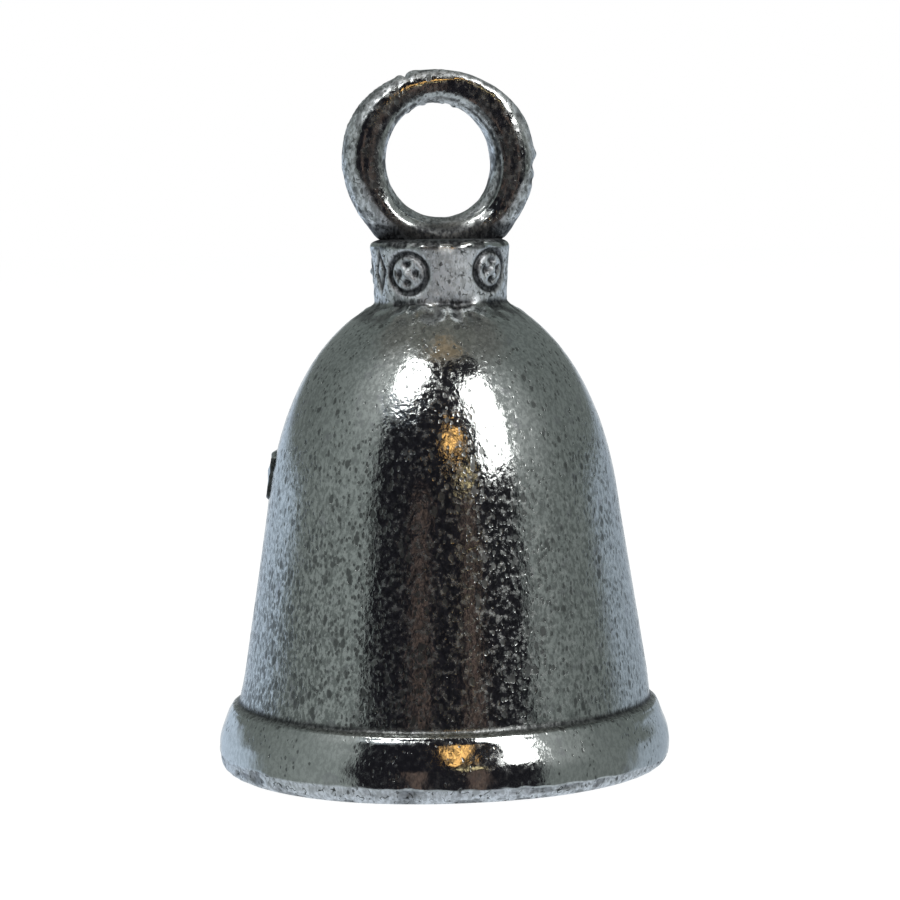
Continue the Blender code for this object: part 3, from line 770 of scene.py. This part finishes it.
def link_wire():
    """The jump ring, with the fine groove where its two cut ends meet."""
    low, high = box_in_millimetres("clapper_link")
    radius = (high.x - low.x) / 2
    ring_r = (high.y - low.y) / 2 - radius
    route = arc((0.0, (low.z + high.z) / 2), ring_r, 0, 358, 180)
    turned = np.radians(np.linspace(0, 358, 180))
    butt = 0.16 * hump(wrapped(turned - math.radians(20)), 0.035)
    return wire_tube("link_wire", route, 1, uneven_thickness(route, radius, 102) - butt, closed=True)


def stem_wire():
    """The stem, bent over at its top into an eye round the link."""
    low, high = box_in_millimetres("clapper_wire")
    radius = (high.y - low.y) / 2
    eye_r = high.x - radius
    eye_z = high.z - radius - eye_r
    eye = arc((0.0, eye_z), eye_r, -50, 222, 70)
    shank_top = eye_z - eye_r - 1.1
    shank = line((0.0, low.z), (0.0, shank_top), 40)
    bend = bezier(shank[-1], (0.0, shank_top + 0.7), (0.35, eye[0][1] - 0.45), eye[0], 14)
    route = np.concatenate([shank, bend, eye[1:]])
    return wire_tube("stem_wire", route, 0, uneven_thickness(route, radius, 103))


def ball_outline(radius, neck_top):
    """Radius and height from the hole for the wire, over the neck and down the ball."""
    hole_r, neck_r = BALL_HOLE_R, BALL_NECK_R
    hole = line((hole_r, neck_top - 0.9), (hole_r, neck_top - 0.15), 5)
    dish = bezier(hole[-1], (hole_r + 0.05, neck_top), (0.7, neck_top), (neck_r - 0.3, neck_top), 6)
    edge = bezier(dish[-1], (neck_r - 0.1, neck_top), (neck_r, neck_top - 0.1), (neck_r, neck_top - 0.3), 6)
    join = (radius * math.cos(BALL_JOIN_ANGLE), radius * math.sin(BALL_JOIN_ANGLE))
    fillet = bezier(edge[-1], (neck_r, neck_top - 0.7), (join[0] - 0.16, join[1] + 0.09), join, 8)
    ball = arc((0.0, 0.0), radius, 62, -89.4, 76)
    return np.concatenate([hole, dish, edge, fillet, ball])


def clapper_shot():
    """The ball cast on the end of the stem, with its mould's seam and a flat where it strikes."""
    low, high = box_in_millimetres("clapper_ball")
    radius = (high.x - low.x) / 2
    middle = low.z + radius
    points, outward, _ = turn(ball_outline(radius - 0.03, high.z - middle), BALL_COLUMNS)
    seam = hump(points[..., 1], 0.07) * (0.5 + 0.5 * noise(points, 0.5, 111))
    struck = 0.05 * smooth(0.9, 1.0, np.abs(points[..., 0]) / radius)
    points = points + outward * (waves(points, BALL_WAVES) + 0.035 * seam - struck)[..., None]
    points[..., 2] += middle
    rows = points.shape[0]
    poles = np.array([[0.0, 0.0, points[0, 0, 2]], [0.0, 0.0, low.z + 0.03]])
    top, last = rows * BALL_COLUMNS, (rows - 1) * BALL_COLUMNS
    faces = grid_faces(0, rows, BALL_COLUMNS) + fan_faces(top, 0, BALL_COLUMNS)
    faces += reversed_faces(fan_faces(top + 1, last, BALL_COLUMNS))
    return add_mesh("clapper_shot", np.concatenate([points.reshape(-1, 3), poles]), faces, {})


# -------------- materials
class Nodes:
    """Small helpers to write a node tree in a few lines."""

    def __init__(self, tree):
        self.tree = tree

    def add(self, kind, inputs=None, **settings):
        node = self.tree.nodes.new("ShaderNode" + kind)
        for key, value in settings.items():
            setattr(node, key, value)
        for key, value in (inputs or {}).items():
            self.feed(node.inputs[key], value)
        return node

    def feed(self, socket, value):
        if isinstance(value, bpy.types.NodeSocket):
            self.tree.links.new(value, socket)
        else:
            socket.default_value = value

    def math(self, operation, first, second=0.0, clamp=False):
        node = self.add("Math", {0: first, 1: second}, operation=operation, use_clamp=clamp)
        return node.outputs[0]

    def times(self, first, second, clamp=False):
        return self.math("MULTIPLY", first, second, clamp)

    def ramp(self, value, low, high, to_low=0.0, to_high=1.0):
        node = self.add(
            "MapRange",
            {"Value": value, "From Min": low, "From Max": high, "To Min": to_low, "To Max": to_high},
            interpolation_type="SMOOTHSTEP",
        )
        return node.outputs["Result"]

    def blend(self, factor, first, second):
        node = self.add("Mix", data_type="RGBA")
        self.feed(node.inputs[0], factor)
        self.feed(node.inputs[6], first)
        self.feed(node.inputs[7], second)
        return node.outputs[2]

    def blend_value(self, factor, first, second):
        node = self.add("Mix", data_type="FLOAT")
        self.feed(node.inputs[0], factor)
        self.feed(node.inputs[2], first)
        self.feed(node.inputs[3], second)
        return node.outputs[0]

    def millimetres(self, scale=(1.0, 1.0, 1.0)):
        """Object coordinates in millimetres, stretched by a scale."""
        place = self.add("TexCoord").outputs["Object"]
        node = self.add("Mapping", {"Vector": place, "Scale": tuple(1000.0 * part for part in scale)})
        return node.outputs["Vector"]

    def noise(self, vector, size, detail=2.0, roughness=0.5, distortion=0.0):
        """Noise whose features are about the size given, in the vector's own units."""
        node = self.add(
            "TexNoise",
            {"Vector": vector, "Scale": 1.0 / size, "Detail": detail, "Roughness": roughness,
             "Distortion": distortion},
        )
        return node.outputs[0]

    def loosened(self, vector, size, amount):
        """A vector pushed about a little, so that what is drawn with it comes out less regular."""
        push = self.add("TexNoise", {"Vector": vector, "Scale": 1.0 / size, "Detail": 1.0}).outputs[1]
        scaled = self.add("VectorMath", {0: push, "Scale": amount}, operation="SCALE").outputs[0]
        return self.add("VectorMath", {0: vector, 1: scaled}, operation="ADD").outputs[0]

    def spots(self, vector, spacing, reach, crowding):
        """Soft spots at random places, up to the reach given, and more where crowding is higher."""
        node = self.add("TexVoronoi", {"Vector": vector, "Scale": 1.0 / spacing})
        chance = self.add("SeparateColor", {0: node.outputs["Color"]}).outputs[0]
        chance = self.math("ADD", chance, crowding)
        radius = self.ramp(chance, 0.4, 1.1, -0.06, reach / spacing)
        return self.ramp(self.math("SUBTRACT", radius, node.outputs["Distance"]), -0.04, 0.14)

    def attribute(self, name):
        return self.add("Attribute", attribute_name=name, attribute_type="GEOMETRY").outputs["Fac"]

    def bump(self, height, depth_mm, normal=None):
        inputs = {"Height": height, "Distance": depth_mm * MM, "Strength": 1.0}
        if normal is not None:
            inputs["Normal"] = normal
        return self.add("Bump", inputs).outputs["Normal"]


def new_metal(name):
    """A metallic material with its helpers and its shader node."""
    material = bpy.data.materials.new(name)
    material.use_nodes = True
    shader = material.node_tree.nodes["Principled BSDF"]
    shader.inputs["Metallic"].default_value = 1.0
    return material, Nodes(material.node_tree), shader


def pewter_material():
    """Polished pewter with dark pits, and patina with painted shade laid on in the same dark colour, satin
    where the attribute says so.
    """
    material, nodes, shader = new_metal("antiqued_pewter")
    place = nodes.millimetres()
    tall = nodes.millimetres((1.0, 1.0, 0.62))
    loose = nodes.loosened(tall, 0.2, 0.14)
    patina_and_shade = nodes.attribute("patina_and_shade")
    satin = nodes.attribute("satin")
    marked = nodes.attribute("marked")

    clouds = nodes.noise(place, 3.0, 3.0, 0.6)
    mottle = nodes.noise(tall, 0.2, 3.0, 0.65)
    fine = nodes.noise(place, 0.05, 2.0, 0.6)
    extra = nodes.times(nodes.math("SUBTRACT", marked, 1.0), 0.5)
    crowding = nodes.math("ADD", nodes.ramp(clouds, 0.35, 0.66, 0.24, -0.12), extra)
    large_pits = nodes.spots(loose, 0.43, 0.19, crowding)
    small_pits = nodes.spots(loose, 0.2, 0.1, nodes.math("ADD", crowding, 0.1))
    pits = nodes.math("MAXIMUM", nodes.times(large_pits, 0.85), nodes.times(small_pits, 0.75))
    contour = nodes.math("ABSOLUTE", nodes.math("SUBTRACT", nodes.noise(place, 0.5, 1.0), 0.5))
    broken = nodes.ramp(nodes.noise(place, 0.35, 1.0), 0.5, 0.58)
    scratches = nodes.times(nodes.ramp(contour, 0.03, 0.01), broken)
    scratches = nodes.times(scratches, satin)

    light = nodes.blend(clouds, PEWTER_DARKER, PEWTER_LIGHTER)
    dull = nodes.times(nodes.ramp(mottle, 0.6, 0.4, 0.0, 0.85), marked, clamp=True)
    fresh = nodes.blend(dull, nodes.blend(satin, light, PEWTER_SATIN), PEWTER_DULL)
    stain = nodes.ramp(nodes.noise(place, 0.9, 2.0), 0.6, 0.72, 0.0, 0.35)
    fresh = nodes.blend(stain, fresh, PEWTER_STAIN)
    pitted = nodes.blend(nodes.math("MAXIMUM", pits, scratches), fresh, PEWTER_PIT)
    # Patina and painted shade both darken the metal towards the patina colour.
    dark = nodes.times(patina_and_shade, nodes.ramp(mottle, 0.25, 0.7, 1.0, 0.8), clamp=True)
    nodes.feed(shader.inputs["Base Color"], nodes.blend(dark, pitted, PEWTER_PATINA_AND_SHADE))

    patches = nodes.ramp(nodes.noise(place, 0.3, 3.0, 0.55), 0.45, 0.68)
    patches = nodes.times(patches, marked, clamp=True)
    rough = nodes.blend_value(pits, nodes.blend_value(patches, 0.09, 0.3), 0.36)
    rough = nodes.blend_value(nodes.times(satin, nodes.ramp(mottle, 0.3, 0.7, 1.0, 0.75)), rough, 0.6)
    nodes.feed(shader.inputs["Roughness"], nodes.blend_value(dark, rough, 0.5))

    unevenness = nodes.times(marked, nodes.ramp(clouds, 0.35, 0.65, 1.4, 0.7))
    normal = nodes.bump(nodes.times(nodes.noise(place, 0.5, 2.0, 0.5, 0.4), unevenness), 0.018)
    normal = nodes.bump(nodes.times(mottle, marked), 0.009, normal)
    pecked = nodes.times(nodes.noise(place, 0.3, 2.0, 0.5, 0.3), nodes.attribute("dented"))
    normal = nodes.bump(pecked, 0.03, normal)
    normal = nodes.bump(nodes.math("SUBTRACT", 1.0, pits), 0.007, normal)
    normal = nodes.bump(nodes.times(fine, nodes.math("ADD", satin, 0.25)), 0.0035, normal)
    nodes.feed(shader.inputs["Normal"], normal)
    return material


def wire_material():
    """Drawn steel wire with faint die lines and dull spots."""
    material, nodes, shader = new_metal("drawn_steel_wire")
    place = nodes.millimetres()
    cloud = nodes.noise(place, 1.1, 3.0)
    nodes.feed(shader.inputs["Base Color"], nodes.blend(cloud, STEEL_DARKER, STEEL_LIGHTER))
    nodes.feed(shader.inputs["Roughness"], nodes.ramp(cloud, 0.3, 0.7, 0.24, 0.42))
    nodes.feed(shader.inputs["Normal"], nodes.bump(nodes.noise(place, 0.12, 3.0, 0.7), 0.008))
    return material


def ball_material():
    """The clapper's cast ball, darker and duller than the bell."""
    material, nodes, shader = new_metal("cast_clapper_ball")
    place = nodes.millimetres()
    cloud = nodes.noise(place, 1.6, 4.0)
    grain = nodes.noise(place, 0.2, 3.0, 0.65)
    nodes.feed(shader.inputs["Base Color"], nodes.blend(cloud, BALL_DARKER, BALL_LIGHTER))
    nodes.feed(shader.inputs["Roughness"], nodes.ramp(grain, 0.3, 0.7, 0.34, 0.52))
    nodes.feed(shader.inputs["Normal"], nodes.bump(grain, 0.02))
    return material


# ----------------- pieces
def make_bell():
    pewter = pewter_material()
    for piece in (bell_casting(), hanging_ring(), bell_emblem()):
        piece.data.materials.append(pewter)
        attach(piece, "bell")
        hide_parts("bell_body")


def make_clapper():
    steel = wire_material()
    wires = (
        (staple_wire(), "bell", "crown_staple"),
        (link_wire(), "link", "clapper_link"),
        (stem_wire(), "clapper", "clapper_wire"),
    )
    for piece, body, node in wires:
        piece.data.materials.append(steel)
        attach(piece, body)
        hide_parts(node)
    shot = clapper_shot()
    shot.data.materials.append(ball_material())
    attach(shot, "clapper")
    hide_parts("clapper_ball")


# ---------- light and camera
def direction_from(azimuth, elevation):
    """A unit vector from the bell, with azimuth in degrees from the camera's side towards its right."""
    azimuth, elevation = math.radians(azimuth), math.radians(elevation)
    level = TOWARD_CAMERA * math.cos(azimuth) + CAMERA_RIGHT * math.sin(azimuth)
    return level * math.cos(elevation) + Vector((0, 0, math.sin(elevation)))


def softbox(name, azimuth, elevation, width, height, roll):
    """A rectangular lamp that faces the bell; its place, size and roll are in degrees."""
    out = direction_from(azimuth, elevation)
    light = bpy.data.lights.new(name, "AREA")
    light.shape = "RECTANGLE"
    light.size = 2 * SOFTBOX_DISTANCE * math.tan(math.radians(width / 2))
    light.size_y = 2 * SOFTBOX_DISTANCE * math.tan(math.radians(height / 2))
    light.energy = SOFTBOX_RADIANCE * math.pi * light.size * light.size_y
    lamp = bpy.data.objects.new(name, light)
    bpy.context.scene.collection.objects.link(lamp)
    facing = out.to_track_quat("Z", "Y").to_matrix().to_4x4()
    place = Matrix.Translation(Vector((0, 0, SOFTBOX_TARGET_Z)) + out * SOFTBOX_DISTANCE)
    lamp.matrix_world = place @ facing @ Matrix.Rotation(math.radians(roll), 4, "Z")


class Tent(Nodes):
    """The surroundings as a function of direction, in degrees round from the camera's side and up."""

    def __init__(self, tree):
        super().__init__(tree)
        way = self.add("TexCoord").outputs["Generated"]
        forward, side, up = (self.dot(way, axis) for axis in (TOWARD_CAMERA, CAMERA_RIGHT, (0, 0, 1)))
        self.azimuth = self.times(self.math("ARCTAN2", side, forward), 180 / math.pi)
        self.turned = self.math("ABSOLUTE", self.azimuth)
        self.elevation = self.times(self.math("ARCSINE", up), 180 / math.pi)

    def dot(self, way, axis):
        node = self.add("VectorMath", {0: way, 1: tuple(axis)}, operation="DOT_PRODUCT")
        return node.outputs["Value"]

    def away(self, azimuth, elevation, half_width, half_height):
        """Distance from a place on the tent, 1 at the edge of the ellipse given."""
        across = self.math("DIVIDE", self.math("SUBTRACT", self.azimuth, azimuth), half_width)
        rise = self.math("DIVIDE", self.math("SUBTRACT", self.elevation, elevation), half_height)
        square = self.math("ADD", self.times(across, across), self.times(rise, rise))
        return self.math("SQRT", square)

    def glow(self, under, place, half_size, colour, strength, soft):
        """A glowing patch laid over what is under it."""
        reach = self.away(*place, *half_size)
        return self.blend(self.ramp(reach, 1 + soft, 1 - soft, 0.0, strength), under, colour)


def tent_colours(tent):
    """Walls, sheet, dark front, streaks and glows, laid over one another."""
    walls = tent.blend(tent.ramp(tent.azimuth, -40, 40), WALL_LEFT, WALL_RIGHT)
    walls = tent.blend(tent.ramp(tent.turned, 60, 130), walls, WALL_BACK)
    walls = tent.blend(tent.ramp(tent.elevation, 48, 62), walls, WALL_HIGH)
    sheet = tent.blend(tent.ramp(tent.azimuth, -20, 20), SHEET_LEFT, SHEET_RIGHT)
    sheet = tent.blend(tent.ramp(tent.turned, 154, 172), sheet, SHEET_BACK)
    sheet_area = tent.times(tent.ramp(tent.turned, 102, 122), tent.ramp(tent.elevation, 9, 2))
    room = tent.blend(sheet_area, walls, sheet)
    for halo in SOFTBOX_HALOS:
        room = tent.glow(room, *halo)
    front = tent.times(tent.ramp(tent.azimuth, 52.5, 49.5), tent.ramp(tent.elevation, 71, 67))
    front = tent.times(front, tent.ramp(tent.azimuth, -49.5, -46.5))
    room = tent.glow(tent.blend(front, room, FRONT_DARK), *SCATTERED_GLOW)
    streak_height = tent.ramp(tent.elevation, 14.5, 11, 0.0, 0.9)
    for place in STREAK_AZIMUTHS:
        reach = tent.math("ABSOLUTE", tent.math("SUBTRACT", tent.azimuth, place))
        room = tent.blend(tent.times(tent.ramp(reach, 4.5, 1.5), streak_height), room, STREAK)
    for lamp in WARM_LAMPS:
        room = tent.glow(room, *lamp)
    ahead = tent.math("ABSOLUTE", tent.math("SUBTRACT", tent.azimuth, 8.0))
    zenith = tent.blend(tent.ramp(ahead, 50, 24), ZENITH_GREY, ZENITH_WARM)
    room = tent.blend(tent.ramp(tent.elevation, 68, 73), room, zenith)
    return tent.blend(tent.ramp(tent.elevation, -20, -34), room, FLOOR_BOUNCE)


def studio_world():
    """A soft tent: dark in front, grey at the sides, pale behind, and plain white where it is seen."""
    world = bpy.data.worlds.new("soft_tent")
    bpy.context.scene.world = world
    world.use_nodes = True
    world.node_tree.nodes.clear()
    tent = Tent(world.node_tree)
    lit = tent.add("Background", {"Color": tent_colours(tent), "Strength": 1.0})
    seen = tent.add("Background", {"Color": (1, 1, 1, 1), "Strength": 1.0})
    camera_ray = tent.add("LightPath").outputs["Is Camera Ray"]
    mixed = tent.add("MixShader", {0: camera_ray, 1: lit.outputs[0], 2: seen.outputs[0]})
    out = tent.add("OutputWorld")
    tent.feed(out.inputs["Surface"], mixed.outputs[0])


def floor():
    """A plain pale table that takes a faint contact shadow and is left out of the metal's reflections."""
    half = 1.5
    mesh = bpy.data.meshes.new("floor")
    corners = [(-half, -half), (half, -half), (half, half), (-half, half)]
    mesh.from_pydata([(x, y, -0.00002) for x, y in corners], [], [(0, 1, 2, 3)])
    made = bpy.data.objects.new("floor", mesh)
    bpy.context.scene.collection.objects.link(made)
    material = bpy.data.materials.new("pale_table")
    material.use_nodes = True
    nodes = Nodes(material.node_tree)
    material.node_tree.nodes.clear()
    matt = nodes.add("BsdfDiffuse", {"Color": (0.22, 0.22, 0.22, 1)})
    glow = nodes.add("Emission", {"Color": (1, 1, 1, 1), "Strength": 0.95})
    both = nodes.add("AddShader", {0: matt.outputs[0], 1: glow.outputs[0]})
    clear = nodes.add("BsdfTransparent")
    glossy_ray = nodes.add("LightPath").outputs["Is Glossy Ray"]
    mixed = nodes.add("MixShader", {0: glossy_ray, 1: both.outputs[0], 2: clear.outputs[0]})
    out = nodes.add("OutputMaterial")
    nodes.feed(out.inputs["Surface"], mixed.outputs[0])
    mesh.materials.append(material)


def camera():
    lens = bpy.data.cameras.new("camera")
    lens.lens, lens.sensor_width, lens.clip_start = FOCAL_LENGTH, SENSOR_WIDTH, CLIP_START
    made = bpy.data.objects.new("camera", lens)
    bpy.context.scene.collection.objects.link(made)
    look = -TOWARD_CAMERA * math.cos(CAMERA_PITCH) - Vector((0, 0, math.sin(CAMERA_PITCH)))
    right = look.cross(Vector((0, 0, 1))).normalized()
    facing = Matrix((right, right.cross(look), -look)).transposed().to_4x4()
    place = TOWARD_CAMERA * CAMERA_DISTANCE + CAMERA_RIGHT * CAMERA_SIDE + Vector((0, 0, CAMERA_HEIGHT))
    made.matrix_world = Matrix.Translation(place) @ facing @ Matrix.Rotation(CAMERA_ROLL, 4, "Z")
    bpy.context.scene.camera = made


camera()
studio_world()
softbox("left_softbox", -36.5, 56, 16, 20, -12)
softbox("right_softbox", 38, 37, 17, 34, 12)
floor()
make_bell()
make_clapper()
bpy.context.scene.view_settings.view_transform = "Standard"
